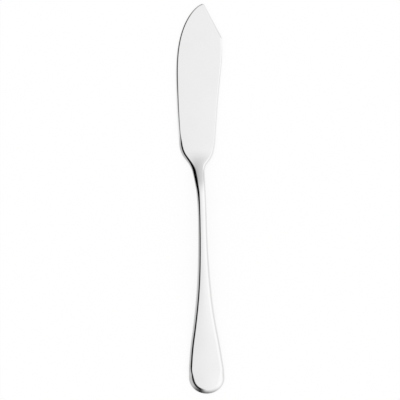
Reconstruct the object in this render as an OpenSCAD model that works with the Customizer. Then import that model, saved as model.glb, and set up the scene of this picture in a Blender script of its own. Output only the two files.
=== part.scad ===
// Fish knife pressed and polished from one piece of stainless steel: a broad flat blade with a
// blunt, curved edge on its left and a straight spine on its right, a thick arched stem and a
// drop-shaped handle with a bevelled border. It lies on the flat back of its blade and on its butt.
// +Y runs from the butt to the tip, +X is the spine side, +Z is up.

/* [Length] */
// Whole length, from the butt to the tip
overall_len = 205; // [190:1:222]
// Blade, from its heel to the tip
blade_len = 74; // [66:1:80]
// Neck, from the slimmest place of the stem to the blade's heel
neck_len = 37; // [32:1:42]
// Round end of the handle, from the butt to its full width
butt_len = 8.5; // [6:0.5:12]

/* [Outline of the handle] */
// Width of the handle at its swell
handle_w = 18.7; // [15:0.1:22]
// Width of the stem at its slimmest
stem_w = 4.8; // [4:0.1:6]
// Reach of the spine side at the neck's waist, just behind the shoulder, from the handle's axis
waist_reach = 2.2; // [1.8:0.05:2.4]
// Bow of the handle's middle towards the edge side
bow_reach = 0.25; // [0:0.05:0.6]

/* [Outline of the blade] */
// Reach of the edge from the handle's axis, at the belly
edge_reach = 11.7; // [10:0.1:14]
// Reach of the edge at the heel
edge_heel_reach = 10.9; // [9:0.1:12]
// Distance from the tip to the belly's widest place
belly_dist = 47; // [40:1:54]
// Reach of the spine from the handle's axis, at its corner
spine_reach = 13.15; // [11:0.05:15]
// Reach of the spine at the heel
spine_heel_reach = 8; // [7:0.1:10]
// Distance from the tip to the spine's corner
corner_dist = 18.3; // [15:0.1:22]
// Radius of the spine's corner
corner_r = 3; // [1.5:0.1:4]
// Offset of the tip from the handle's axis, towards the spine
tip_reach = 3.3; // [1.5:0.1:5]
// Radius of the tip on its spine side
tip_r = 1.2; // [0.8:0.1:1.6]

/* [Thickness] */
// Handle at its swell
handle_t = 2.85; // [2.4:0.05:3.4]
// Stem at its slimmest
stem_t = 3.4; // [2.8:0.05:4]
// Blade at its heel
heel_t = 2; // [1.6:0.05:2.3]
// Blade at its tip
tip_t = 1; // [0.85:0.05:1.3]
// Rim of the butt's end, under its bevel
butt_rim_t = 0.6; // [0.55:0.05:0.9]
// Rim of the handle, under its bevel
handle_rim_t = 1.3; // [1:0.05:1.7]
// Rim of the stem, under its bevel
stem_rim_t = 2.2; // [1.8:0.05:2.5]
// Blunt edge of the blade
edge_t = 0.6; // [0.4:0.05:0.8]
// Spine of the blade
spine_t = 0.85; // [0.7:0.05:0.9]

/* [Arch] */
// Height of the stem's underside over the surface the knife lies on
arch_h = 3.8; // [2:0.1:8]
// Length of the butt's flat underside
pad_len = 7; // [4:0.5:10]
// Distance from the heel back to the top of the arch
arch_back = 33; // [28:1:38]

/* [Borders] */
// Width of the bevel at the butt's end
butt_bevel = 2.45; // [1.8:0.05:2.8]
// Width of the bevel where the butt turns into the handle's sides
haunch_bevel = 2.9; // [2:0.05:3.2]
// Width of the bevel along the handle
handle_bevel = 1.85; // [1.2:0.05:2.2]
// Width of the bevel along the stem
stem_bevel = 1.45; // [1:0.05:1.6]
// Width of the bevel along the edge's shoulder
shoulder_bevel = 2.05; // [1.4:0.05:2.4]
// Width of the bevel along the edge at the belly
edge_bevel = 1.15; // [0.7:0.05:1.6]
// Width of the bevel along the edge where it turns to the tip
corner_bevel = 0.85; // [0.5:0.05:1.1]
// Width of the bevel at the tip
tip_bevel = 0.6; // [0.3:0.05:0.7]
// Width of the eased border along the spine
spine_bevel = 0.45; // [0.3:0.05:0.8]
// Radius of the upper corner of every rim
rim_r = 0.12; // [0.06:0.01:0.18]
// Radius of the underside's rounding on the blade
blade_under_r = 0.2; // [0.1:0.05:0.3]
// Radius of the underside's rounding on the stem
stem_under_r = 0.9; // [0.5:0.05:1.1]
// Radius of the underside's rounding on the handle
handle_under_r = 0.4; // [0.2:0.05:0.45]

/* [Smoothness] */
// Ribs round the butt
butt_ribs = 14; // [8:1:20]
// Ribs along the handle
handle_ribs = 30; // [12:1:40]
// Ribs along the neck and the shoulders
neck_ribs = 36; // [16:1:48]
// Ribs from the heel to the belly
heel_ribs = 10; // [5:1:16]
// Ribs from the belly to the spine's corner
belly_ribs = 12; // [5:1:16]
// Ribs from the spine's corner to the tip
tip_ribs = 18; // [10:1:24]
// Facets across the face
face_facets = 10; // [4:2:14]

/* [Hidden] */

heel_y = overall_len - blade_len;
stem_y = heel_y - neck_len;
corner_y = overall_len - corner_dist;
belly_y = overall_len - belly_dist;
arch_y = heel_y - arch_back;

// Places between those, where a thickness or a border starts to change: along the round end, along
// the handle from there, along the neck from the slimmest stem, and along the blade from its heel
haunch_share = 0.8;
swell_share = 0.05;
grip_share = 0.4;
nape_share = 0.42;
shoulder_share = 0.8;
settle_share = 0.25;
haunch_y = haunch_share * butt_len;
swell_y = mix(butt_len, stem_y, swell_share);
grip_y = mix(butt_len, stem_y, grip_share);
nape_y = mix(stem_y, heel_y, nape_share);
shoulder_y = mix(stem_y, heel_y, shoulder_share);
settle_y = mix(heel_y, belly_y, settle_share);

// The origin is under the middle of the knife's box, so the handle's axis lies beside it
axis_x = (max(edge_reach, handle_w / 2) - max(spine_reach, handle_w / 2)) / 2;
mid_y = overall_len / 2;

// Swell of the handle: share of the way from the round end to the slimmest stem, and share of
// the difference between their half widths
swell_shares = [
    [0, 1], [0.04, 0.995], [0.107, 0.915], [0.2, 0.775], [0.3, 0.58], [0.4, 0.408],
    [0.5, 0.272], [0.6, 0.17], [0.7, 0.095], [0.8, 0.042], [0.9, 0.01], [1, 0]
];
// Bow of the handle: share of the way from the butt to the slimmest stem, and share of its reach
bow_shares = [
    [0, -0.4], [0.1, -0.1], [0.165, 0.45], [0.22, 0.9], [0.32, 1.05], [0.4, 1.1], [0.5, 0.9],
    [0.6, 0.45], [0.7, 0.15], [0.8, 0], [0.9, -0.25], [1, -0.5], [1.1, -0.3], [1.2, 0]
];
// Edge side of the neck: share of its length, and share of the way out to the heel
edge_flare_shares = [
    [0.15, 0.004], [0.3, 0.025], [0.44, 0.1], [0.58, 0.205], [0.65, 0.28], [0.72, 0.42],
    [0.79, 0.63], [0.86, 0.83], [0.93, 0.945], [1, 1]
];
// Spine side of the neck: shares before the waist of the way in from the stem, then shares
// after the waist of the way out to the heel
waist_share = 0.57;
waist_in_shares = [[0.15, 0.02], [0.3, 0.3], [0.45, 0.8]];
shoulder_shares = [
    [0.645, 0.02], [0.69, 0.09], [0.72, 0.2], [0.76, 0.42], [0.8, 0.6], [0.86, 0.79],
    [0.93, 0.915], [1, 1]
];
// Spine from the heel to its corner: share of the length, and share of the difference in reach
spine_shares = [
    [0.1, 0.105], [0.2, 0.215], [0.33, 0.345], [0.45, 0.485], [0.55, 0.62], [0.65, 0.755],
    [0.75, 0.885], [0.83, 0.97], [0.9, 1], [1, 1]
];
// Powers of the belly's curve from the tip: how full it is, and how blunt it starts
belly_power = 3;
blunt_power = 0.69;
// Half of the crease between a bevel and the face, as a share of the bevel
crease_share = 0.15;
// Change of a bevel's slope from its middle to either side, as a share of the slope there
bevel_round_share = 0.38;
// Crown of the face, as a share of the height of its middle over the rims
handle_crown_share = 0.16;
grip_crown_share = 0.1;
stem_crown_share = 0.05;
shoulder_crown_share = 0.12;
blade_crown_share = 0.1;
// Thickness at places between the named ones, as a share of the way from the thicker to the
// thinner: the butt's end, the grip, the shoulders and the belly
butt_thin_share = 0.3;
grip_thin_share = 0.75;
shoulder_thin_share = 0.7;
belly_thin_share = 0.35;
// Rims at places between the named ones, as a share of the way from the butt's to the handle's,
// from the handle's to the stem's, and from the stem's to the blade's
butt_rim_share = 0.2;
grip_rim_share = 0.08;
shoulder_rim_share = 0.75;
// Borders at places between the named ones: the edge's as a share of the way from the stem's to
// the shoulder's and from there to the belly's, and the spine's from the stem's to the blade's
nape_border_share = 0.6;
heel_border_share = 0.2;
shoulder_border_share = 0.5;

// Smooth curve through a table of [place, value] that never overshoots its points
function step_slope(t, i) = (t[i + 1][1] - t[i][1]) / (t[i + 1][0] - t[i][0]);
function point_slope(t, i) =
    i == 0 ? step_slope(t, 0)
    : i == len(t) - 1 ? step_slope(t, i - 1)
    : let (a = step_slope(t, i - 1), b = step_slope(t, i))
      a * b <= 0 ? 0 : 2 * a * b / (a + b);
function step_at(t, x, i = 0) = i >= len(t) - 2 || x < t[i + 1][0] ? i : step_at(t, x, i + 1);
function hermite(a, b, ma, mb, s) =
    let (q = s * s * (3 - 2 * s), h = s * (1 - s))
    a + (b - a) * q + h * ((1 - s) * ma - s * mb);
function curve(t, x) =
    x <= t[0][0] ? t[0][1]
    : x >= t[len(t) - 1][0] ? t[len(t) - 1][1]
    : let (i = step_at(t, x), w = t[i + 1][0] - t[i][0])
      hermite(t[i][1], t[i + 1][1], w * point_slope(t, i), w * point_slope(t, i + 1),
              (x - t[i][0]) / w);
// Ease from 0 to 1 with no kink at either end
function ease(s) = let (u = min(max(s, 0), 1)) u * u * u * (10 - 15 * u + 6 * u * u);
function mix(a, b, s) = a + (b - a) * s;

// Outline, as the reach of each side from the handle's axis
swell_table = [for (p = swell_shares)
    [mix(butt_len, stem_y, p[0]), mix(stem_w / 2, handle_w / 2, p[1])]];
edge_table = concat(swell_table, [for (p = edge_flare_shares)
    [mix(stem_y, heel_y, p[0]), mix(stem_w / 2, edge_heel_reach, p[1])]]);
spine_table = concat(
    swell_table,
    [for (p = waist_in_shares) [mix(stem_y, heel_y, p[0]), mix(stem_w / 2, waist_reach, p[1])]],
    [[mix(stem_y, heel_y, waist_share), waist_reach]],
    [for (p = shoulder_shares)
        [mix(stem_y, heel_y, p[0]), mix(waist_reach, spine_heel_reach, p[1])]],
    [for (p = spine_shares)
        [mix(heel_y, corner_y, p[0]), mix(spine_heel_reach, spine_reach, p[1])]]);

bow_table = [for (p = bow_shares) [p[0] * stem_y, p[1] * bow_reach]];

function bow(y) = curve(bow_table, y);
function round_end(y) = sqrt(max(0, 1 - pow(1 - y / butt_len, 2))) * handle_w / 2;
function belly(y) =
    let (d = (overall_len - y) / belly_dist)
    mix(-tip_reach, edge_reach, pow(1 - pow(1 - d, belly_power), blunt_power));
function heel_sweep(y) =
    mix(edge_reach, edge_heel_reach, pow((belly_y - y) / (belly_y - heel_y), 2));
function edge_out(y) = bow(y) + (
    y < butt_len ? round_end(y)
    : y < heel_y ? curve(edge_table, y)
    : y < belly_y ? heel_sweep(y)
    : belly(y));

// The slanted end of the spine runs straight from its rounded corner to the tip's arc
tip_c = [tip_reach, overall_len - tip_r];
slant_run = norm([spine_reach, corner_y] - tip_c);
slant_a = atan2(spine_reach - tip_c.x, tip_c.y - corner_y) - asin(tip_r / slant_run);
slant_y = tip_c.y + tip_r * sin(slant_a);
corner_cut = corner_r * tan(slant_a / 2);
function spine_slant(y) = spine_reach - (y - corner_y) * tan(slant_a);
function spine_corner(y) =
    spine_reach - corner_r + sqrt(pow(corner_r, 2) - pow(y - corner_y + corner_cut, 2));
function spine_tip(y) = tip_c.x + sqrt(max(0, pow(tip_r, 2) - pow(y - tip_c.y, 2)));
function spine_out(y) = -bow(y) + (
    y < butt_len ? round_end(y)
    : y < corner_y - corner_cut ? curve(spine_table, y)
    : y < corner_y + corner_cut * cos(slant_a) ? spine_corner(y)
    : y < slant_y ? spine_slant(y)
    : spine_tip(y));

// Rib places, close together where the outline turns
rib_y = concat(
    [for (i = [0:butt_ribs - 1]) butt_len * (1 - cos(90 * i / butt_ribs))],
    [for (i = [0:handle_ribs - 1]) mix(butt_len, stem_y, i / handle_ribs)],
    [for (i = [0:neck_ribs - 1]) mix(stem_y, heel_y, i / neck_ribs)],
    [for (i = [0:heel_ribs - 1]) mix(heel_y, belly_y, i / heel_ribs)],
    [for (i = [0:belly_ribs - 1]) mix(belly_y, corner_y - corner_cut, i / belly_ribs)],
    [for (s = [0:3]) corner_y + mix(-corner_cut, corner_cut * cos(slant_a), s / 3)],
    [for (i = [tip_ribs - 1:-1:0])
        overall_len - (corner_dist - corner_cut) * pow(i / tip_ribs, 2)]);
ribs = len(rib_y);
loop_len = 2 * (ribs - 1);

// The closed outline runs from the butt up the edge side to the tip and back down the spine
outline = concat(
    [for (y = rib_y) [y == overall_len ? tip_reach : -edge_out(y), y]],
    [for (i = [ribs - 2:-1:1]) [spine_out(rib_y[i]), rib_y[i]]]);
function at(i) = outline[(i + loop_len) % loop_len];
function unit(v) = v / norm(v);
function inward(i) =
    let (t = unit(unit(at(i) - at(i - 1)) + unit(at(i + 1) - at(i)))) [t.y, -t.x];
function on_edge(i) = i < ribs;

// Sizes along the length, each a smooth curve through named places
thick_table = [
    [0, mix(handle_t, handle_rim_t, butt_thin_share)], [butt_len, handle_t],
    [grip_y, mix(stem_t, handle_t, grip_thin_share)], [stem_y, stem_t], [nape_y, stem_t],
    [shoulder_y, mix(stem_t, heel_t, shoulder_thin_share)], [heel_y, heel_t],
    [belly_y, mix(heel_t, tip_t, belly_thin_share)], [overall_len, tip_t]
];
function rim_table(blade_rim_t) = [
    [0, butt_rim_t], [butt_len, mix(butt_rim_t, handle_rim_t, butt_rim_share)],
    [swell_y, handle_rim_t], [grip_y, mix(handle_rim_t, stem_rim_t, grip_rim_share)],
    [stem_y, stem_rim_t], [nape_y, stem_rim_t],
    [shoulder_y, mix(stem_rim_t, blade_rim_t, shoulder_rim_share)], [heel_y, blade_rim_t],
    [overall_len, blade_rim_t]
];
edge_rim_table = rim_table(edge_t);
spine_rim_table = rim_table(spine_t);
handle_bevel_table = [
    [0, butt_bevel], [haunch_y, haunch_bevel], [swell_y, handle_bevel], [grip_y, handle_bevel],
    [stem_y, stem_bevel]
];
edge_bevel_table = concat(handle_bevel_table, [
    [nape_y, mix(stem_bevel, shoulder_bevel, nape_border_share)], [shoulder_y, shoulder_bevel],
    [heel_y, mix(shoulder_bevel, edge_bevel, heel_border_share)], [settle_y, edge_bevel],
    [belly_y, edge_bevel], [corner_y, corner_bevel], [overall_len, tip_bevel]
]);
spine_bevel_table = concat(handle_bevel_table, [
    [nape_y, stem_bevel], [shoulder_y, mix(stem_bevel, spine_bevel, shoulder_border_share)],
    [settle_y, spine_bevel], [corner_y, spine_bevel], [overall_len, tip_bevel]
]);
under_table = [
    [0, handle_under_r], [grip_y, handle_under_r], [stem_y, stem_under_r],
    [nape_y, stem_under_r], [heel_y, blade_under_r], [overall_len, blade_under_r]
];
crown_table = [
    [0, handle_crown_share], [swell_y, handle_crown_share], [grip_y, grip_crown_share],
    [stem_y, stem_crown_share], [nape_y, stem_crown_share], [shoulder_y, shoulder_crown_share],
    [settle_y, blade_crown_share], [overall_len, blade_crown_share]
];
function lift(y) =
    y > arch_y ? arch_h * ease((heel_y - y) / arch_back)
    : arch_h * ease((y - pad_len) / (arch_y - pad_len));
function thick(y) = curve(thick_table, y);
function rim(i, y) = curve(on_edge(i) ? edge_rim_table : spine_rim_table, y);
function bevel(i, y) = curve(on_edge(i) ? edge_bevel_table : spine_bevel_table, y);
function under(y) = curve(under_table, y);

// Rise of the face from its border to its middle, height of that border over the underside,
// and the face's width and its slope at the border
function crown(y) =
    curve(crown_table, y) * (thick(y) - max(curve(edge_rim_table, y), curve(spine_rim_table, y)));
function border_h(y) = thick(y) - crown(y);
function full_y(y) = min(max(y, butt_len), corner_y);
function face_w(y) =
    edge_out(y) + spine_out(y)
    - (curve(edge_bevel_table, y) + curve(spine_bevel_table, y)) * (1 + crease_share);
function face_slope(y) = 4 * crown(full_y(y)) / face_w(full_y(y));

// The border's profile as [distance in from the outline, height over the underside]: the rounded
// underside, the rim, the full bevel and the crease where the bevel bends into the face. The bevel
// is steepest at the rim, where the rim's corner runs into it, and flattest at the crease.
function profile(i, y) =
    let (u = under(y), t = rim(i, y), b = bevel(i, y), c = b * crease_share, h = border_h(y))
    let (m = face_slope(y), f = (h - t - c * m) / (b + bevel_round_share * (rim_r - c)))
    let (steep = f * (1 + bevel_round_share), fall = f * (1 - bevel_round_share))
    let (outer = [rim_r, t + rim_r * steep], inner = [b - c, h - c * (m + fall)])
    let (bulge = [0, f * bevel_round_share * (b - c - rim_r)])
    concat(
        [for (a = [0:30:90]) [u * (1 - sin(a)), u * (1 - cos(a))]],
        [for (s = [0:0.5:1]) [rim_r * s * s, t + rim_r * (steep * s * s - pow(1 - s, 2))]],
        [for (s = [0.25:0.25:0.75]) mix(outer, inner, s) + bulge * s * (1 - s)],
        [for (s = [1:-0.25:0]) [b + c * (1 - 2 * s), h - c * s * ((2 - s) * m + s * fall)]]);
profile_len = len(profile(0, 0));
function border_point(i, k) =
    let (p = at(i), q = profile(i, p.y)[k], xy = p + inward(i) * q[0])
    [xy.x, xy.y, q[1] + lift(xy.y)];

// Points across the crowned face and the flat back, between the two borders of a rib
function across(i, k, s, rise) =
    let (a = border_point(i, k), b = border_point(loop_len - i, k), m = mix(a, b, s))
    m + [0, 0, rise * 4 * s * (1 - s)];
function rib_w(i) =
    norm(border_point(i, profile_len - 1) - border_point(loop_len - i, profile_len - 1));
function face_rise(i) =
    let (y = rib_y[i])
    crown(y) * (full_y(y) == y ? 1 : pow(rib_w(i) / face_w(full_y(y)), 2));

border_points = [for (k = [0:profile_len - 1], i = [0:loop_len - 1]) border_point(i, k)];
face_points = [for (i = [1:ribs - 2], j = [1:face_facets - 1])
    across(i, profile_len - 1, j / face_facets, face_rise(i))];
body_points = [for (p = concat(border_points, face_points)) p + [axis_x, -mid_y, 0]];

// Faces: strips between the border's loops, ribs across the face, and the back's flat strips
function border_id(i, k) = k * loop_len + (i + loop_len) % loop_len;
function face_id(i, j) =
    j == 0 ? border_id(i, profile_len - 1)
    : j == face_facets ? border_id(loop_len - i, profile_len - 1)
    : len(border_points) + (i - 1) * (face_facets - 1) + j - 1;
border_faces = [for (k = [0:profile_len - 2], i = [0:loop_len - 1], h = [0, 1])
    h == 0 ? [border_id(i, k), border_id(i + 1, k), border_id(i + 1, k + 1)]
    : [border_id(i, k), border_id(i + 1, k + 1), border_id(i, k + 1)]];
face_faces = [for (i = [1:ribs - 3], j = [0:face_facets - 1], h = [0, 1])
    h == 0 ? [face_id(i, j), face_id(i + 1, j), face_id(i + 1, j + 1)]
    : [face_id(i, j), face_id(i + 1, j + 1), face_id(i, j + 1)]];
end_faces = [for (j = [0:face_facets - 1], h = [0, 1])
    h == 0 ? [border_id(0, profile_len - 1), face_id(1, j), face_id(1, j + 1)]
    : [border_id(ribs - 1, profile_len - 1), face_id(ribs - 2, j + 1), face_id(ribs - 2, j)]];
back_faces = [for (i = [1:ribs - 3], h = [0, 1])
    h == 0 ? [border_id(i, 0), border_id(loop_len - i, 0), border_id(i + 1, 0)]
    : [border_id(i + 1, 0), border_id(loop_len - i, 0), border_id(loop_len - i - 1, 0)]];
back_end_faces = [
    [border_id(0, 0), border_id(-1, 0), border_id(1, 0)],
    [border_id(ribs - 1, 0), border_id(ribs - 2, 0), border_id(ribs, 0)]
];
body_faces = concat(border_faces, face_faces, end_faces, back_faces, back_end_faces);

module knife() {
    color([0.86, 0.87, 0.88])
        polyhedron(points = body_points, faces = body_faces, convexity = 6);
}

knife();
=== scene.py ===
"""A one-piece fish knife of mirror-polished stainless steel on a plain white table.

The knife's form follows one rule, as its construction does. An outline runs from the butt up the
edge side to the tip and back down the spine. A border profile of rounded underside, rim, bevel and
crease is carried round that outline along its own inward direction, and a crowned face closes it.
Here that rule is followed far more finely, so that the polished surface reflects cleanly.
"""
import logging
import math
from dataclasses import dataclass, field
from enum import Enum
from typing import Any, Optional, Sequence, Union

import bmesh
import bpy
import numpy as np
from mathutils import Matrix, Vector


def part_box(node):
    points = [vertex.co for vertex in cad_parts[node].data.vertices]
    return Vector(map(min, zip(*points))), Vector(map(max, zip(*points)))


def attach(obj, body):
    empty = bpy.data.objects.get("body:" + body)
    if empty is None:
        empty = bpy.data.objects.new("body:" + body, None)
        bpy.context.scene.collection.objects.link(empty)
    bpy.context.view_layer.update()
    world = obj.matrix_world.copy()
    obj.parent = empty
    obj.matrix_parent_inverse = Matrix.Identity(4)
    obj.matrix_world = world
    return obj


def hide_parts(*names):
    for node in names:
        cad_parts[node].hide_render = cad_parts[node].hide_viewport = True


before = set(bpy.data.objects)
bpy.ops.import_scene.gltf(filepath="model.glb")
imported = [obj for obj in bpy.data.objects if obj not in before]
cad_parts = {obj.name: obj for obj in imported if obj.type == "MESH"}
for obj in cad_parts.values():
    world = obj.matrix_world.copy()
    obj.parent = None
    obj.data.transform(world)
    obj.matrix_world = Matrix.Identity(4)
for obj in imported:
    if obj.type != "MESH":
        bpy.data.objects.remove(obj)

LOG = logging.getLogger("fish_knife")
MM = 0.001

Number = Union[int, float]
Span = tuple[float, float]
Table = list[Span]


class Side(Enum):
    """The two sides of the knife, seen from above with the tip away."""

    EDGE = "edge"
    SPINE = "spine"


class Wrapped:
    """A node's output socket that adds Math nodes when it is used in an expression."""

    def __init__(self, graph: "Graph", socket: bpy.types.NodeSocket) -> None:
        """Keeps the socket and the graph that it belongs to."""
        self.graph = graph
        self.socket = socket

    def _maths(self, operation: str, *values: Union["Wrapped", Number]) -> "Wrapped":
        """Adds one Math node.

        Args:
            operation: the Math node's operation.
            values: its inputs in order, as numbers or wrapped sockets.

        Returns:
            The node's value.
        """
        return self.graph.node("ShaderNodeMath", {"operation": operation}, dict(enumerate(values)))

    def __add__(self, other: Union["Wrapped", Number]) -> "Wrapped":
        """Sum."""
        return self._maths("ADD", self, other)

    def __radd__(self, other: Number) -> "Wrapped":
        """Sum with a number on the left."""
        return self._maths("ADD", other, self)

    def __sub__(self, other: Union["Wrapped", Number]) -> "Wrapped":
        """Difference."""
        return self._maths("SUBTRACT", self, other)

    def __rsub__(self, other: Number) -> "Wrapped":
        """Difference from a number."""
        return self._maths("SUBTRACT", other, self)

    def __mul__(self, other: Union["Wrapped", Number]) -> "Wrapped":
        """Product."""
        return self._maths("MULTIPLY", self, other)

    def __rmul__(self, other: Number) -> "Wrapped":
        """Product with a number on the left."""
        return self._maths("MULTIPLY", other, self)

    def __truediv__(self, other: Union["Wrapped", Number]) -> "Wrapped":
        """Quotient."""
        return self._maths("DIVIDE", self, other)

    def __neg__(self) -> "Wrapped":
        """Negative."""
        return self._maths("MULTIPLY", self, -1.0)

    def __mod__(self, other: Union["Wrapped", Number]) -> "Wrapped":
        """Remainder of a division, never negative."""
        return self._maths("FLOORED_MODULO", self, other)

    def at_least(self, other: Union["Wrapped", Number]) -> "Wrapped":
        """The larger of the two."""
        return self._maths("MAXIMUM", self, other)

    def at_most(self, other: Union["Wrapped", Number]) -> "Wrapped":
        """The smaller of the two."""
        return self._maths("MINIMUM", self, other)

    def power(self, exponent: Number) -> "Wrapped":
        """This value raised to a power."""
        return self._maths("POWER", self, exponent)

    def rounded(self) -> "Wrapped":
        """The nearest whole number."""
        return self._maths("ROUND", self)

    def ramp(self, low: Number, high: Number) -> "Wrapped":
        """A smooth step.

        Args:
            low: the value at which the step starts at 0.
            high: the value at which it reaches 1, which may lie below low.

        Returns:
            The step's height, from 0 to 1.
        """
        ends = (low, high, 0.0, 1.0) if low < high else (high, low, 1.0, 0.0)
        return self.graph.node(
            "ShaderNodeMapRange",
            {"interpolation_type": "SMOOTHSTEP", "clamp": True},
            {0: self, 1: ends[0], 2: ends[1], 3: ends[2], 4: ends[3]},
        )


class Graph:
    """A shader or geometry node tree that is filled by one method."""

    def __init__(self, tree: bpy.types.NodeTree) -> None:
        """Takes the tree and empties it."""
        self.tree = tree
        self.tree.nodes.clear()

    def add(
        self,
        kind: str,
        settings: Optional[dict[str, Any]] = None,
        inputs: Optional[dict[Union[str, int], Any]] = None,
    ) -> bpy.types.Node:
        """Adds a node, sets it up and links it.

        Args:
            kind: the node's type.
            settings: its own properties, set before its sockets.
            inputs: values or wrapped sockets by the input's name or number.

        Returns:
            The node.
        """
        made = self.tree.nodes.new(kind)
        for name, value in (settings or {}).items():
            setattr(made, name, value)
        for key, value in (inputs or {}).items():
            socket = made.inputs[key]
            if isinstance(value, Wrapped):
                self.tree.links.new(value.socket, socket)
            else:
                socket.default_value = value
        return made

    def node(
        self,
        kind: str,
        settings: Optional[dict[str, Any]] = None,
        inputs: Optional[dict[Union[str, int], Any]] = None,
        output: Union[str, int] = 0,
    ) -> Wrapped:
        """Adds a node and returns one of its outputs, ready for expressions.

        Args:
            kind: the node's type.
            settings: its own properties, set before its sockets.
            inputs: values or wrapped sockets by the input's name or number.
            output: the output's name or number.

        Returns:
            The wrapped output.
        """
        return Wrapped(self, self.add(kind, settings, inputs).outputs[output])

    def colours(self, low: Sequence[float], high: Sequence[float], factor: Wrapped) -> Wrapped:
        """Mixes two colours by a factor from 0 to 1.

        Args:
            low: the colour at 0.
            high: the colour at 1.
            factor: how far to go from one to the other.

        Returns:
            The mixed colour.
        """
        return self.node(
            "ShaderNodeMix",
            {"data_type": "RGBA"},
            {0: factor, 6: (*low, 1.0), 7: (*high, 1.0)},
            output=2,
        )

    def vector_maths(self, operation: str, *values: Any, output: int = 0) -> Wrapped:
        """Adds one Vector Math node.

        Args:
            operation: the node's operation.
            values: its inputs in order.
            output: which of its outputs is wanted.

        Returns:
            The node's wrapped output.
        """
        inputs = dict(enumerate(values))
        if operation == "SCALE":
            inputs = {0: values[0], "Scale": values[1]}
        return self.node("ShaderNodeVectorMath", {"operation": operation}, inputs, output)


def mix(a: Any, b: Any, share: Any) -> Any:
    """Goes from a to b by a share of the way."""
    return a + (b - a) * share


@dataclass(frozen=True)
class SmoothTable:
    """A curve through [place, value] points that never overshoots them.

    Attributes:
        points: the places and values, in metres, with rising places.
        blur: half of the window that the curve is averaged over, so that its bends have no kink.
        taps: how many places of the window are averaged.
        end_weight: how much the window's two ends count, where its middle counts 1 more.
    """

    points: Table
    blur: float = 0.0
    taps: int = 9
    end_weight: float = 0.05

    def _slopes(self, x: np.ndarray, y: np.ndarray) -> np.ndarray:
        """Slope at each point: zero where the table turns, else a mean that doesn't overshoot.

        Args:
            x: the points' places.
            y: their values.

        Returns:
            One slope a point.
        """
        steps = np.diff(y) / np.diff(x)
        before, after = steps[:-1], steps[1:]
        total = np.where(before * after > 0, before + after, 1.0)
        inner = np.where(before * after > 0, 2 * before * after / total, 0.0)
        return np.concatenate([steps[:1], inner, steps[-1:]])

    def _plain(self, places: np.ndarray) -> np.ndarray:
        """The curve without its averaging.

        Args:
            places: where it is wanted.

        Returns:
            Its values there.
        """
        x, y = (np.array(c) for c in zip(*self.points))
        slopes = self._slopes(x, y)
        p = np.clip(places, x[0], x[-1])
        i = np.clip(np.searchsorted(x, p, side="right") - 1, 0, len(x) - 2)
        width = x[i + 1] - x[i]
        s = (p - x[i]) / width
        bend = s * (1 - s)
        ends = mix(y[i], y[i + 1], s * s * (3 - 2 * s))
        return ends + width * bend * ((1 - s) * slopes[i] - s * slopes[i + 1])

    def __call__(self, places: np.ndarray) -> np.ndarray:
        """Values at the given places.

        Args:
            places: where the averaged curve is wanted.

        Returns:
            Its values there.
        """
        taps = self.taps if self.blur else 1
        shares = np.arange(taps) / max(1, taps - 1) * 2 - 1
        window = shares * self.blur if self.blur else np.zeros(1)
        weights = 1 - shares**2 + self.end_weight
        values = [w * self._plain(places + d) for w, d in zip(weights, window)]
        return np.sum(values, axis=0) / weights.sum()


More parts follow.
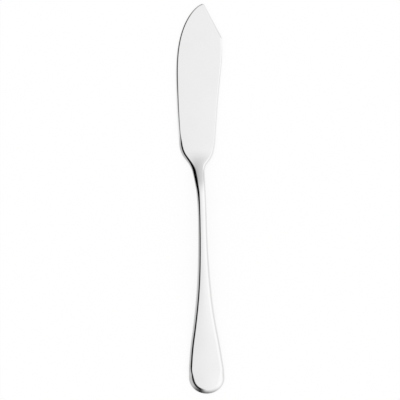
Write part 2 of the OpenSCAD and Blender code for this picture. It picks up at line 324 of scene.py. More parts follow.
@dataclass
class KnifeSizes:
    """The knife's driving sizes, in metres. Places run along +Y from the butt."""

    overall: float = 205 * MM
    blade: float = 74 * MM
    neck: float = 37 * MM
    butt: float = 8.5 * MM
    handle_w: float = 18.7 * MM
    stem_w: float = 4.8 * MM
    waist_reach: float = 2.2 * MM
    bow_reach: float = 0.25 * MM
    edge_reach: float = 11.7 * MM
    edge_heel_reach: float = 10.9 * MM
    belly_dist: float = 47 * MM
    spine_reach: float = 13.15 * MM
    spine_heel_reach: float = 8 * MM
    corner_dist: float = 18.3 * MM
    corner_r: float = 3 * MM
    tip_reach: float = 3.3 * MM
    tip_r: float = 1.2 * MM
    handle_t: float = 2.85 * MM
    stem_t: float = 3.4 * MM
    heel_t: float = 2 * MM
    tip_t: float = 1 * MM
    butt_rim_t: float = 0.6 * MM
    handle_rim_t: float = 1.3 * MM
    stem_rim_t: float = 2.2 * MM
    edge_t: float = 0.6 * MM
    spine_t: float = 0.85 * MM
    arch_h: float = 3.8 * MM
    pad: float = 7 * MM
    arch_back: float = 33 * MM
    handle_bevel: float = 1.85 * MM
    butt_bevel: float = 2.45 * MM
    haunch_bevel: float = 2.9 * MM
    stem_bevel: float = 1.45 * MM
    shoulder_bevel: float = 2.05 * MM
    edge_bevel: float = 1.15 * MM
    corner_bevel: float = 0.85 * MM
    tip_bevel: float = 0.6 * MM
    spine_bevel: float = 0.75 * MM
    rim_r: float = 0.12 * MM
    blade_under_r: float = 0.2 * MM
    stem_under_r: float = 0.9 * MM
    handle_under_r: float = 0.4 * MM
    crease_share: float = 0.15
    bevel_round: float = 0.38
    haunch_share: float = 0.8
    swell_share: float = 0.05
    grip_share: float = 0.4
    nape_share: float = 0.42
    shoulder_share: float = 0.8
    settle_share: float = 0.25

    @property
    def heel_y(self) -> float:
        """Where the blade starts."""
        return self.overall - self.blade

    @property
    def stem_y(self) -> float:
        """Where the stem is slimmest."""
        return self.heel_y - self.neck

    @property
    def corner_y(self) -> float:
        """Where the spine turns towards the tip."""
        return self.overall - self.corner_dist

    @property
    def belly_y(self) -> float:
        """Where the edge reaches furthest out."""
        return self.overall - self.belly_dist

    @property
    def arch_y(self) -> float:
        """Where the stem is highest."""
        return self.heel_y - self.arch_back

    @property
    def haunch_y(self) -> float:
        """Where the butt turns into the handle's sides."""
        return self.haunch_share * self.butt

    @property
    def swell_y(self) -> float:
        """Where the handle is widest."""
        return mix(self.butt, self.stem_y, self.swell_share)

    @property
    def grip_y(self) -> float:
        """Where the handle starts to thicken towards the stem."""
        return mix(self.butt, self.stem_y, self.grip_share)

    @property
    def nape_y(self) -> float:
        """Where the stem starts to turn into the neck."""
        return mix(self.stem_y, self.heel_y, self.nape_share)

    @property
    def shoulder_y(self) -> float:
        """Where the shoulders spread."""
        return mix(self.stem_y, self.heel_y, self.shoulder_share)

    @property
    def settle_y(self) -> float:
        """Where the neck's swelling has run out into the flat blade."""
        return mix(self.heel_y, self.belly_y, self.settle_share)


@dataclass
class Outline:
    """The knife's outline, as the reach of each side from the handle's axis."""

    sizes: KnifeSizes
    blur: float = 1.1 * MM
    belly_power: float = 3.0
    blunt_power: float = 0.69
    waist_share: float = 0.57
    swell_shares: Table = field(default_factory=lambda: [
        (0, 1), (0.04, 0.995), (0.107, 0.915), (0.2, 0.775), (0.3, 0.58), (0.4, 0.408),
        (0.5, 0.272), (0.6, 0.17), (0.7, 0.095), (0.8, 0.042), (0.9, 0.01), (1, 0),
    ])
    edge_flare_shares: Table = field(default_factory=lambda: [
        (0.15, 0.004), (0.3, 0.025), (0.44, 0.1), (0.58, 0.205), (0.65, 0.28), (0.72, 0.42),
        (0.79, 0.63), (0.86, 0.83), (0.93, 0.945), (1, 1),
    ])
    waist_in_shares: Table = field(default_factory=lambda: [
        (0.15, 0.02), (0.3, 0.3), (0.45, 0.8),
    ])
    shoulder_shares: Table = field(default_factory=lambda: [
        (0.645, 0.02), (0.69, 0.09), (0.72, 0.2), (0.76, 0.42), (0.8, 0.6), (0.86, 0.79),
        (0.93, 0.915), (1, 1),
    ])
    bow_shares: Table = field(default_factory=lambda: [
        (0, -0.4), (0.1, -0.1), (0.165, 0.45), (0.22, 0.9), (0.32, 1.05), (0.4, 1.1), (0.5, 0.9),
        (0.6, 0.45), (0.7, 0.15), (0.8, 0), (0.9, -0.25), (1, -0.5), (1.1, -0.3), (1.2, 0),
    ])
    spine_shares: Table = field(default_factory=lambda: [
        (0.1, 0.105), (0.2, 0.215), (0.33, 0.345), (0.45, 0.485), (0.55, 0.62), (0.65, 0.755),
        (0.75, 0.885), (0.83, 0.97), (0.9, 1), (1, 1),
    ])

    def _span(self, shares: Table, places: tuple[float, float],
              values: tuple[float, float]) -> Table:
        """Turns shares into places and values between two named ones.

        Args:
            shares: pairs of shares.
            places: where the shares of place run from and to.
            values: what the shares of value run from and to.

        Returns:
            The table in metres.
        """
        return [(mix(*places, p), mix(*values, v)) for p, v in shares]

    def _swell(self) -> Table:
        """The handle's half width from its round end to the slimmest stem."""
        s = self.sizes
        return self._span(self.swell_shares, (s.butt, s.stem_y), (s.stem_w / 2, s.handle_w / 2))

    def _edge_table(self) -> SmoothTable:
        """Reach of the edge side from the round end to the heel, and its sweep to the belly.

        Returns:
            The curve.
        """
        s = self.sizes
        flare = self._span(
            self.edge_flare_shares, (s.stem_y, s.heel_y), (s.stem_w / 2, s.edge_heel_reach))
        sweep = [(u, 1 - (1 - u) ** 2) for u in (0.2, 0.4, 0.6, 0.8, 1.0)]
        belly = self._span(sweep, (s.heel_y, s.belly_y), (s.edge_heel_reach, s.edge_reach))
        return SmoothTable(self._swell() + flare + belly, self.blur)

    def _spine_table(self) -> SmoothTable:
        """Reach of the spine side from the round end to the spine's corner.

        Returns:
            The curve.
        """
        s = self.sizes
        neck = (s.stem_y, s.heel_y)
        points = self._swell()
        points += self._span(self.waist_in_shares, neck, (s.stem_w / 2, s.waist_reach))
        points += [(mix(*neck, self.waist_share), s.waist_reach)]
        points += self._span(self.shoulder_shares, neck, (s.waist_reach, s.spine_heel_reach))
        points += self._span(
            self.spine_shares, (s.heel_y, s.corner_y), (s.spine_heel_reach, s.spine_reach))
        return SmoothTable(points, self.blur)

    def _bow(self, y: np.ndarray) -> np.ndarray:
        """How far the handle's middle lies to the edge side of its axis.

        Args:
            y: places along the knife, from the butt.

        Returns:
            The distance at each place.
        """
        s = self.sizes
        return SmoothTable(
            self._span(self.bow_shares, (0.0, s.stem_y), (0.0, s.bow_reach)), self.blur)(y)

    def _round_end(self, y: np.ndarray) -> np.ndarray:
        """Half width of the butt's elliptical end."""
        s = self.sizes
        return np.sqrt(np.clip(1 - (1 - y / s.butt) ** 2, 0, None)) * s.handle_w / 2

    def _belly(self, y: np.ndarray) -> np.ndarray:
        """Reach of the edge from its belly round to the tip.

        Args:
            y: places along the knife, from the butt.

        Returns:
            The reach at each place.
        """
        s = self.sizes
        d = np.clip((s.overall - y) / s.belly_dist, 0, 1)
        full = (1 - (1 - d) ** self.belly_power) ** self.blunt_power
        return mix(-s.tip_reach, s.edge_reach, full)

    def slant(self) -> tuple[float, float]:
        """The spine's slanted end.

        Returns:
            Its angle from the knife's length, and how far its corner's rounding reaches.
        """
        s = self.sizes
        across = s.spine_reach - s.tip_reach
        along = s.overall - s.tip_r - s.corner_y
        angle = math.atan2(across, along) - math.asin(s.tip_r / math.hypot(across, along))
        return angle, s.corner_r * math.tan(angle / 2)

    def edge_out(self, y: np.ndarray) -> np.ndarray:
        """Reach of the edge side at places along the knife.

        Args:
            y: places along the knife, from the butt.

        Returns:
            The reach at each place.
        """
        s = self.sizes
        return self._bow(y) + np.select(
            [y < s.butt, y < s.belly_y], [self._round_end(y), self._edge_table()(y)],
            self._belly(y))

    def spine_out(self, y: np.ndarray) -> np.ndarray:
        """Reach of the spine side at places along the knife.

        Args:
            y: places along the knife, from the butt.

        Returns:
            The reach at each place.
        """
        s = self.sizes
        angle, cut = self.slant()
        tip_y = s.overall - s.tip_r
        corner = np.sqrt(np.clip(s.corner_r**2 - (y - s.corner_y + cut) ** 2, 0, None))
        arc = np.sqrt(np.clip(s.tip_r**2 - (y - tip_y) ** 2, 0, None))
        return -self._bow(y) + np.select(
            [y < s.butt, y < s.corner_y - cut, y < s.corner_y + cut * math.cos(angle),
             y < tip_y + s.tip_r * math.sin(angle)],
            [self._round_end(y), self._spine_table()(y), s.spine_reach - s.corner_r + corner,
             s.spine_reach - (y - s.corner_y) * math.tan(angle)],
            s.tip_reach + arc)


@dataclass
class Build:
    """Thicknesses and borders along the knife, each a smooth curve through named places."""

    sizes: KnifeSizes
    blur: float = 2.5 * MM
    handle_crown_share: float = 0.16
    grip_crown_share: float = 0.1
    stem_crown_share: float = 0.05
    shoulder_crown_share: float = 0.12
    blade_crown_share: float = 0.1
    butt_thin_share: float = 0.3
    grip_thin_share: float = 0.75
    shoulder_thin_share: float = 0.7
    belly_thin_share: float = 0.35
    butt_rim_share: float = 0.2
    grip_rim_share: float = 0.08
    shoulder_rim_share: float = 0.75
    nape_border_share: float = 0.6
    heel_border_share: float = 0.2
    shoulder_border_share: float = 0.5

    def thick(self, y: np.ndarray) -> np.ndarray:
        """Thickness at the middle of the face.

        Args:
            y: places along the knife, from the butt.

        Returns:
            The thickness at each place.
        """
        s = self.sizes
        return SmoothTable([
            (0, mix(s.handle_t, s.handle_rim_t, self.butt_thin_share)), (s.butt, s.handle_t),
            (s.grip_y, mix(s.stem_t, s.handle_t, self.grip_thin_share)),
            (s.stem_y, s.stem_t), (s.nape_y, s.stem_t),
            (s.shoulder_y, mix(s.stem_t, s.heel_t, self.shoulder_thin_share)),
            (s.heel_y, s.heel_t), (s.belly_y, mix(s.heel_t, s.tip_t, self.belly_thin_share)),
            (s.overall, s.tip_t),
        ], self.blur)(y)

    def rim(self, side: Side, y: np.ndarray) -> np.ndarray:
        """Height of the rim under the bevel.

        Args:
            side: the edge side or the spine side.
            y: places along the knife, from the butt.

        Returns:
            The height at each place.
        """
        s = self.sizes
        blade = s.edge_t if side is Side.EDGE else s.spine_t
        return SmoothTable([
            (0, s.butt_rim_t), (s.butt, mix(s.butt_rim_t, s.handle_rim_t, self.butt_rim_share)),
            (s.swell_y, s.handle_rim_t),
            (s.grip_y, mix(s.handle_rim_t, s.stem_rim_t, self.grip_rim_share)),
            (s.stem_y, s.stem_rim_t), (s.nape_y, s.stem_rim_t),
            (s.shoulder_y, mix(s.stem_rim_t, blade, self.shoulder_rim_share)),
            (s.heel_y, blade), (s.overall, blade),
        ], self.blur)(y)

    def bevel(self, side: Side, y: np.ndarray) -> np.ndarray:
        """Width of the bevel between the rim and the face.

        Args:
            side: the edge side or the spine side.
            y: places along the knife, from the butt.

        Returns:
            The width at each place.
        """
        s = self.sizes
        points = [
            (0, s.butt_bevel), (s.haunch_y, s.haunch_bevel), (s.swell_y, s.handle_bevel),
            (s.grip_y, s.handle_bevel), (s.stem_y, s.stem_bevel),
        ]
        if side is Side.EDGE:
            points += [(s.nape_y, mix(s.stem_bevel, s.shoulder_bevel, self.nape_border_share))]
            heel = mix(s.shoulder_bevel, s.edge_bevel, self.heel_border_share)
            points += [(s.shoulder_y, s.shoulder_bevel), (s.heel_y, heel),
                       (s.settle_y, s.edge_bevel), (s.belly_y, s.edge_bevel),
                       (s.corner_y, s.corner_bevel), (s.overall, s.tip_bevel)]
        else:
            shoulder = mix(s.stem_bevel, s.spine_bevel, self.shoulder_border_share)
            points += [(s.nape_y, s.stem_bevel), (s.shoulder_y, shoulder),
                       (s.settle_y, s.spine_bevel),
                       (s.corner_y, s.spine_bevel), (s.overall, s.tip_bevel)]
        return SmoothTable(points, self.blur)(y)

    def under(self, y: np.ndarray) -> np.ndarray:
        """Radius of the underside's rounding.

        Args:
            y: places along the knife, from the butt.

        Returns:
            The radius at each place.
        """
        s = self.sizes
        return SmoothTable([
            (0, s.handle_under_r), (s.grip_y, s.handle_under_r), (s.stem_y, s.stem_under_r),
            (s.nape_y, s.stem_under_r), (s.heel_y, s.blade_under_r),
            (s.overall, s.blade_under_r),
        ], self.blur)(y)

    def crown(self, y: np.ndarray) -> np.ndarray:
        """Rise of the face from its border to its middle.

        Args:
            y: places along the knife, from the butt.

        Returns:
            The rise at each place.
        """
        s = self.sizes
        share = SmoothTable([
            (0, self.handle_crown_share), (s.swell_y, self.handle_crown_share),
            (s.grip_y, self.grip_crown_share),
            (s.stem_y, self.stem_crown_share), (s.nape_y, self.stem_crown_share),
            (s.shoulder_y, self.shoulder_crown_share), (s.settle_y, self.blade_crown_share),
            (s.overall, self.blade_crown_share),
        ], self.blur)(y)
        rims = np.maximum(self.rim(Side.EDGE, y), self.rim(Side.SPINE, y))
        return share * (self.thick(y) - rims)

    def lift(self, y: np.ndarray) -> np.ndarray:
        """Height of the underside over the table.

        Args:
            y: places along the knife, from the butt.

        Returns:
            The height at each place.
        """
        s = self.sizes
        u = np.where(
            y > s.arch_y, (s.heel_y - y) / s.arch_back, (y - s.pad) / (s.arch_y - s.pad))
        u = np.clip(u, 0, 1)
        return s.arch_h * u**3 * (10 - 15 * u + 6 * u * u)


@dataclass(frozen=True)
class Facets:
    """How finely each stretch of the outline, the border and the face are divided."""

    butt: int = 44
    handle: int = 96
    neck: int = 110
    heel: int = 26
    belly: int = 28
    corner: int = 14
    tip: int = 56
    face: int = 40
    back: int = 8
    under_arc: int = 7
    rim_arc: int = 5
    bevel: int = 6
    crease: int = 8
    tip_crowding: float = 1.8

    def places(self, s: KnifeSizes, outline: Outline) -> np.ndarray:
        """Places of the ribs along the knife, close together where the outline turns.

        Args:
            s: the knife's sizes.
            outline: its outline, for the rounding of the spine's corner.

        Returns:
            Rising places from the butt to the tip.
        """
        angle, cut = outline.slant()
        low, high = s.corner_y - cut, s.corner_y + cut * math.cos(angle)
        turn = np.linspace(0, math.pi / 2, self.butt, endpoint=False)
        stretches = [(s.butt, s.stem_y, self.handle), (s.stem_y, s.heel_y, self.neck),
                     (s.heel_y, s.belly_y, self.heel), (s.belly_y, low, self.belly),
                     (low, high, self.corner)]
        close = np.linspace(1, 0, self.tip + 1) ** self.tip_crowding
        return np.concatenate(
            [s.butt * (1 - np.cos(turn))]
            + [np.linspace(a, b, n, endpoint=False) for a, b, n in stretches]
            + [s.overall - (s.overall - high) * close])

    def profile(self, crease_share: float) -> np.ndarray:
        """The border's profile as weights of the sizes that it follows.

        Args:
            crease_share: half of the crease, as a share of the bevel.

        Returns:
            One row a point. Its columns weigh, for the way in, the underside's radius, the rim's
            radius and the bevel, and for the height, the underside's radius, the rim, the rim's
            radius, the rise over that radius, the bevel's bulge, the border's height, and the
            bevel's width times the face's slope and times its own slope at the crease.
        """
        rows: list[list[float]] = []
        for a in np.linspace(0, math.pi / 2, self.under_arc):
            rows.append([1 - math.sin(a), 0, 0, 1 - math.cos(a), 0, 0, 0, 0, 0, 0, 0])
        for t in np.linspace(0, 1, self.rim_arc):
            rows.append([0, t * t, 0, 0, 1, -((1 - t) ** 2), t * t, 0, 0, 0, 0])
        crease = [
            [0, 0, 1 + crease_share * (1 - 2 * t), 0, 0, 0, 0, 0, 1,
             -crease_share * t * (2 - t), -crease_share * t * t]
            for t in np.linspace(1, 0, self.crease)
        ]
        top, start = np.array(rows[-1]), np.array(crease[0])
        for t in np.linspace(0, 1, self.bevel + 2)[1:-1]:
            point = mix(top, start, t)
            point[7] = t * (1 - t)
            rows.append(list(point))
        return np.array(rows + crease)


class Loft:
    """The Geometry Nodes tree that carries the border round the outline and closes it."""

    WAYS_IN = ("in_under", "in_rim", "in_bevel")
    HEIGHTS = ("up_under", "up_rim", "up_rim_r", "up_start", "up_bulge", "up_border", "up_face",
               "up_fall")

    def __init__(self) -> None:
        """Makes the tree with its named inputs."""
        self.tree = bpy.data.node_groups.new("bevelled_loft", "GeometryNodeTree")
        face = self.tree.interface
        face.new_socket("Stations", in_out="INPUT", socket_type="NodeSocketGeometry")
        face.new_socket("Profile", in_out="INPUT", socket_type="NodeSocketObject")
        for name in ("Station Count", "Profile Count", "Face Facets", "Back Facets"):
            face.new_socket(name, in_out="INPUT", socket_type="NodeSocketInt")
        for name in ("Rim Radius", "Weld Distance"):
            face.new_socket(name, in_out="INPUT", socket_type="NodeSocketFloat")
        face.new_socket("Material", in_out="INPUT", socket_type="NodeSocketMaterial")
        face.new_socket("Geometry", in_out="OUTPUT", socket_type="NodeSocketGeometry")
        self.graph = Graph(self.tree)
        self.source = self.graph.add("NodeGroupInput")
        self._fill()

    def given(self, name: str) -> Wrapped:
        """One of the tree's named inputs."""
        return Wrapped(self.graph, self.source.outputs[name])

    def _sample(self, geometry: Wrapped, name: str, index: Wrapped, vector: bool) -> Wrapped:
        """Reads a stored attribute, or the position, of one point.

        Args:
            geometry: the points to read.
            name: the attribute's name, or position.
            index: which point.
            vector: whether the attribute is a vector.

        Returns:
            The attribute's value there.
        """
        kind = "FLOAT_VECTOR" if vector else "FLOAT"
        if name == "position":
            value = self.graph.node("GeometryNodeInputPosition")
        else:
            value = self.graph.node(
                "GeometryNodeInputNamedAttribute", {"data_type": kind}, {"Name": name})
        return self.graph.node(
            "GeometryNodeSampleIndex", {"data_type": kind, "domain": "POINT"},
            {"Geometry": geometry, "Value": value, "Index": index})

    def _border(self, station: Wrapped, row: Union[Wrapped, int]) -> Wrapped:
        """Place of a border point.

        Args:
            station: which point of the outline.
            row: which point of the profile.

        Returns:
            Its place as a vector.
        """
        rim_r = self.given("Rim Radius")
        at = {n: self._sample(self.given("Stations"), n, station, False)
              for n in ("under", "rim", "start", "bulge", "bevel", "border", "face", "fall",
                        "lift", "lean")}
        weight = {n: self._sample(self.profile, n, row, False)
                  for n in self.WAYS_IN + self.HEIGHTS}
        way_in = (weight["in_under"] * at["under"] + weight["in_rim"] * rim_r
                  + weight["in_bevel"] * at["bevel"])
        height = (weight["up_under"] * at["under"] + weight["up_rim"] * at["rim"]
                  + weight["up_rim_r"] * rim_r + weight["up_start"] * at["start"]
                  + weight["up_bulge"] * at["bulge"] + weight["up_border"] * at["border"]
                  + weight["up_face"] * at["bevel"] * at["face"]
                  + weight["up_fall"] * at["bevel"] * at["fall"])
        rise = height + at["lift"] + at["lean"] * way_in
        out = self._sample(self.given("Stations"), "position", station, True)
        inward = self._sample(self.given("Stations"), "inward", station, True)
        flat = self.graph.vector_maths(
            "ADD", out, self.graph.vector_maths("SCALE", inward, way_in))
        up = self.graph.node("ShaderNodeCombineXYZ", inputs={2: rise})
        return self.graph.vector_maths("ADD", flat, up)

    def _sheet(self, across: Wrapped, along: Wrapped) -> tuple[Wrapped, Wrapped, Wrapped]:
        """A flat grid with whole-number places, ready to be laid.

        Args:
            across: how many points it has one way.
            along: how many points it has the other way.

        Returns:
            The grid, and each point's number across and along.
        """
        grid = self.graph.node("GeometryNodeMeshGrid", inputs={
            "Size X": across - 1, "Size Y": along - 1, "Vertices X": across,
            "Vertices Y": along})
        place = self.graph.add("ShaderNodeSeparateXYZ", inputs={
            0: self.graph.node("GeometryNodeInputPosition")})
        x, y = (Wrapped(self.graph, place.outputs[i]) for i in (0, 1))
        return grid, (x + (across - 1) / 2).rounded(), (y + (along - 1) / 2).rounded()

    def _lay(self, grid: Wrapped, place: Wrapped, flip: bool) -> Wrapped:
        """Lays a grid's points in their places and turns its faces outwards.

        Args:
            grid: the flat grid.
            place: where each of its points goes.
            flip: whether its faces point inwards as laid.

        Returns:
            The laid grid.
        """
        laid = self.graph.node(
            "GeometryNodeSetPosition", inputs={"Geometry": grid, "Position": place})
        return self.graph.node("GeometryNodeFlipFaces", inputs={0: laid}) if flip else laid

    def _span(self, facets: Wrapped, row: Union[Wrapped, int], crowned: bool) -> Wrapped:
        """A sheet between the two sides of the border.

        Args:
            facets: how many facets it has across.
            row: which point of the profile it hangs from.
            crowned: whether it rises to the middle, as the face does and the back doesn't.

        Returns:
            The laid sheet.
        """
        count = self.given("Station Count")
        grid, across, rib = self._sheet(facets + 1, count / 2 + 1)
        near = self._border(rib, row)
        far = self._border((count - rib) % count, row)
        share = across / facets
        place = self.graph.node(
            "ShaderNodeMix", {"data_type": "VECTOR", "clamp_factor": False},
            {0: share, 4: near, 5: far}, output=1)
        if crowned:
            rise = self._sample(self.given("Stations"), "rise", rib, False)
            up = self.graph.node(
                "ShaderNodeCombineXYZ", inputs={2: 4 * rise * share * (1 - share)})
            place = self.graph.vector_maths("ADD", place, up)
        return self._lay(grid, place, flip=not crowned)

    def _fill(self) -> None:
        """Fills the tree: border, face and back, welded, smoothed and given their finish."""
        g = self.graph
        count, rows = self.given("Station Count"), self.given("Profile Count")
        self.profile = g.node(
            "GeometryNodeObjectInfo", inputs={0: self.given("Profile")}, output="Geometry")
        grid, row, station = self._sheet(rows, count + 1)
        border = self._lay(grid, self._border(station % count, row), flip=False)
        face = self._span(self.given("Face Facets"), rows - 1, crowned=True)
        back = self._span(self.given("Back Facets"), 0, crowned=False)
        join = g.add("GeometryNodeJoinGeometry")
        for part in (border, face, back):
            g.tree.links.new(part.socket, join.inputs[0])
        welded = g.node("GeometryNodeMergeByDistance", inputs={
            "Geometry": Wrapped(g, join.outputs[0]), "Distance": self.given("Weld Distance")})
        smooth = g.node("GeometryNodeSetShadeSmooth", inputs={"Geometry": welded})
        real = g.node("GeometryNodeRealizeInstances", inputs={"Geometry": smooth})
        dressed = g.node("GeometryNodeSetMaterial", inputs={
            "Geometry": real, "Material": self.given("Material")})
        g.add("NodeGroupOutput", inputs={0: dressed})

    def run(self, name: str, stations: bpy.types.Object,
            inputs: dict[str, Any]) -> bpy.types.Object:
        """Runs the tree on a set of stations.

        Args:
            name: the finished piece's name.
            stations: the object whose points carry the sizes.
            inputs: values of the tree's named inputs.

        Returns:
            A plain mesh object.
        """
        modifier = stations.modifiers.new("loft", "NODES")
        modifier.node_group = self.tree
        sockets = {i.name: i.identifier for i in self.tree.interface.items_tree
                   if i.item_type == "SOCKET" and i.in_out == "INPUT"}
        for key, value in inputs.items():
            modifier[sockets[key]] = value
        depsgraph = bpy.context.evaluated_depsgraph_get()
        mesh = bpy.data.meshes.new_from_object(stations.evaluated_get(depsgraph))
        stations.modifiers.remove(modifier)
        mesh.name = name
        mesh.materials.clear()
        mesh.materials.append(inputs["Material"])
        piece = bpy.data.objects.new(name, mesh)
        bpy.context.scene.collection.objects.link(piece)
        return piece


@dataclass(frozen=True)
class PolishedSteel:
    """Mirror-polished stainless steel with the faint lines that a polishing wheel leaves.

    Attributes:
        name: the material's name.
        colour: the steel's colour where its polish is fresh.
        worn_colour: its colour where use has dulled it.
        roughness: how rough the fresh polish is.
        worn_roughness: how rough it is where use has dulled it.
        cloud_size: length of the dulled patches.
        cloud_worn: noise between which a patch sets in.
        cloud_share: share of the wear that comes from the patches, the rest from the lines.
        line_width: width of a polishing line.
        line_length: its length, along the knife.
        line_worn: noise between which a line shows.
        line_depth: how deep the lines are.
    """

    name: str = "polished_steel"
    colour: tuple[float, float, float] = (0.86, 0.857, 0.858)
    worn_colour: tuple[float, float, float] = (0.84, 0.837, 0.838)
    roughness: float = 0.045
    worn_roughness: float = 0.085
    cloud_size: float = 22 * MM
    cloud_worn: tuple[float, float] = (0.42, 0.7)
    cloud_share: float = 0.6
    line_width: float = 0.22 * MM
    line_length: float = 30 * MM
    line_worn: tuple[float, float] = (0.55, 0.8)
    line_depth: float = 0.000012 * MM

    def _noise(self, graph: Graph, place: Wrapped, size: Sequence[float], detail: float) -> Wrapped:
        """A noise whose spots have the given size along each axis.

        Args:
            graph: the material's tree.
            place: the coordinates to read.
            size: length of a spot along X, Y and Z, in metres.
            detail: the noise's detail.

        Returns:
            The noise, from 0 to 1.
        """
        scaled = graph.vector_maths("MULTIPLY", place, tuple(1 / s for s in size))
        return graph.node(
            "ShaderNodeTexNoise", {"noise_dimensions": "3D"},
            {"Vector": scaled, "Scale": 1.0, "Detail": detail, "Roughness": 0.5})

    def make(self) -> bpy.types.Material:
        """Builds the material.

        Returns:
            The material.
        """
        material = bpy.data.materials.new(self.name)
        material.use_nodes = True
        graph = Graph(material.node_tree)
        place = graph.node("ShaderNodeTexCoord", output="Object")
        cloud = self._noise(graph, place, (self.cloud_size,) * 3, 2.0)
        lines = self._noise(
            graph, place, (self.line_width, self.line_length, self.line_width), 3.0)
        worn = (cloud.ramp(*self.cloud_worn) * self.cloud_share
                + lines.ramp(*self.line_worn) * (1 - self.cloud_share))
        bump = graph.node("ShaderNodeBump", inputs={
            "Strength": 1.0, "Distance": self.line_depth, "Height": lines})
        shader = graph.node("ShaderNodeBsdfPrincipled", inputs={
            "Base Color": graph.colours(self.colour, self.worn_colour, worn),
            "Metallic": 1.0,
            "Roughness": mix(self.roughness, self.worn_roughness, worn),
            "Normal": bump})
        graph.add("ShaderNodeOutputMaterial", inputs={0: shader})
        return material


@dataclass
class FishKnife:
    """The knife itself: one piece, from the butt to the tip.

    Attributes:
        sizes: its driving sizes.
        facets: how finely it is divided.
        steel: its finish.
        weld: how close points are merged.
        step: the step over which the underside's slope is measured.
    """

    sizes: KnifeSizes = field(default_factory=KnifeSizes)
    facets: Facets = field(default_factory=Facets)
    steel: PolishedSteel = field(default_factory=PolishedSteel)
    weld: float = 0.0015 * MM
    step: float = 0.01 * MM

    def _stations(self) -> dict[str, np.ndarray]:
        """Works out every size that the loft reads round the outline.

        Returns:
            The outline's places and the named sizes at each of them.
        """
        s, outline, build = self.sizes, Outline(self.sizes), Build(self.sizes)
        y = self.facets.places(s, outline)
        edge = np.column_stack([-outline.edge_out(y), y])
        spine = np.column_stack([outline.spine_out(y), y])
        edge[-1] = (s.tip_reach, s.overall)
        loop = np.vstack([edge, spine[-2:0:-1]])
        ahead = np.roll(loop, -1, axis=0) - loop
        ahead /= np.linalg.norm(ahead, axis=1, keepdims=True)
        along = ahead + np.roll(ahead, 1, axis=0)
        along /= np.linalg.norm(along, axis=1, keepdims=True)
        inward = np.column_stack([along[:, 1], -along[:, 0], np.zeros(len(loop))])
        places = loop[:, 1]
        on_edge = np.arange(len(loop)) < len(y)
        rim = np.where(on_edge, build.rim(Side.EDGE, places), build.rim(Side.SPINE, places))
        bevel = np.where(on_edge, build.bevel(Side.EDGE, places), build.bevel(Side.SPINE, places))
        border = build.thick(places) - build.crown(places)
        full = np.clip(places, s.butt, s.corner_y)
        face_w = (outline.edge_out(full) + outline.spine_out(full)
                  - (build.bevel(Side.EDGE, full) + build.bevel(Side.SPINE, full))
                  * (1 + s.crease_share))
        face = 4 * build.crown(full) / face_w
        crease = s.crease_share * bevel
        slope = (border - rim - crease * face) / (bevel + s.bevel_round * (s.rim_r - crease))
        bulge = slope * s.bevel_round * (bevel - crease - s.rim_r)
        inner = loop + inward[:, :2] * (bevel * (1 + s.crease_share))[:, None]
        rib_w = np.linalg.norm(inner - np.roll(inner[::-1], 1, axis=0), axis=1)
        grown = np.where(places == full, 1.0, (rib_w / face_w) ** 2)
        lean = ((build.lift(places + self.step) - build.lift(places - self.step))
                / (2 * self.step))
        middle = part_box("knife")
        shift = (middle[0][0] + s.edge_reach, middle[0][1])
        return {
            "position": np.column_stack([loop + np.array(shift), np.zeros(len(loop))]),
            "inward": inward, "under": build.under(places), "rim": rim, "bevel": bevel,
            "start": s.rim_r * slope * (1 + s.bevel_round), "bulge": bulge,
            "border": border, "face": face, "fall": slope * (1 - s.bevel_round),
            "lift": build.lift(places),
            "lean": lean * inward[:, 1], "rise": build.crown(places) * grown,
        }

    def _points(self, name: str, columns: dict[str, np.ndarray]) -> bpy.types.Object:
        """Makes loose points that carry named sizes.

        Args:
            name: the object's name.
            columns: the points' places under position, and their attributes.

        Returns:
            The object, linked to the scene.
        """
        mesh = bpy.data.meshes.new(name)
        mesh.from_pydata([tuple(p) for p in columns["position"]], [], [])
        for key, values in columns.items():
            if key == "position":
                continue
            vector = values.ndim == 2
            kind = "FLOAT_VECTOR" if vector else "FLOAT"
            attribute = mesh.attributes.new(key, kind, "POINT")
            attribute.data.foreach_set("vector" if vector else "value",
                                       values.astype(np.float32).ravel())
        points = bpy.data.objects.new(name, mesh)
        bpy.context.scene.collection.objects.link(points)
        return points

    def build(self) -> bpy.types.Object:
        """Lofts the knife, dresses it and lets it stand for the plain solid.

        Returns:
            The finished piece.
        """
        steel = self.steel.make()
        columns = self._stations()
        weights = self.facets.profile(self.sizes.crease_share)
        profile_columns = {"position": np.zeros((len(weights), 3))}
        profile_columns |= dict(zip(Loft.WAYS_IN + Loft.HEIGHTS, weights.T))
        stations = self._points("stations", columns)
        profile = self._points("profile", profile_columns)
        knife = Loft().run("fish_knife", stations, {
            "Profile": profile, "Station Count": len(columns["rim"]),
            "Profile Count": len(weights), "Face Facets": self.facets.face,
            "Back Facets": self.facets.back, "Rim Radius": self.sizes.rim_r,
            "Weld Distance": self.weld, "Material": steel})
        for spare in (stations, profile):
            bpy.data.objects.remove(spare)
        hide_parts("knife")
        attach(knife, "root")
        self._report(knife)
        return knife

    def _report(self, knife: bpy.types.Object) -> None:
        """Logs the piece and whether its surface is closed and faces outwards.

        Args:
            knife: the finished piece, whose volume is negative if its faces point inwards.
        """
        shape = bmesh.new()
        shape.from_mesh(knife.data)
        open_edges = sum(not e.is_manifold for e in shape.edges)
        volume = shape.calc_volume(signed=True)
        shape.free()
        LOG.info("%s: %d faces, %d open edges, %.1f mm3", knife.name,
                 len(knife.data.polygons), open_edges, volume / MM**3)


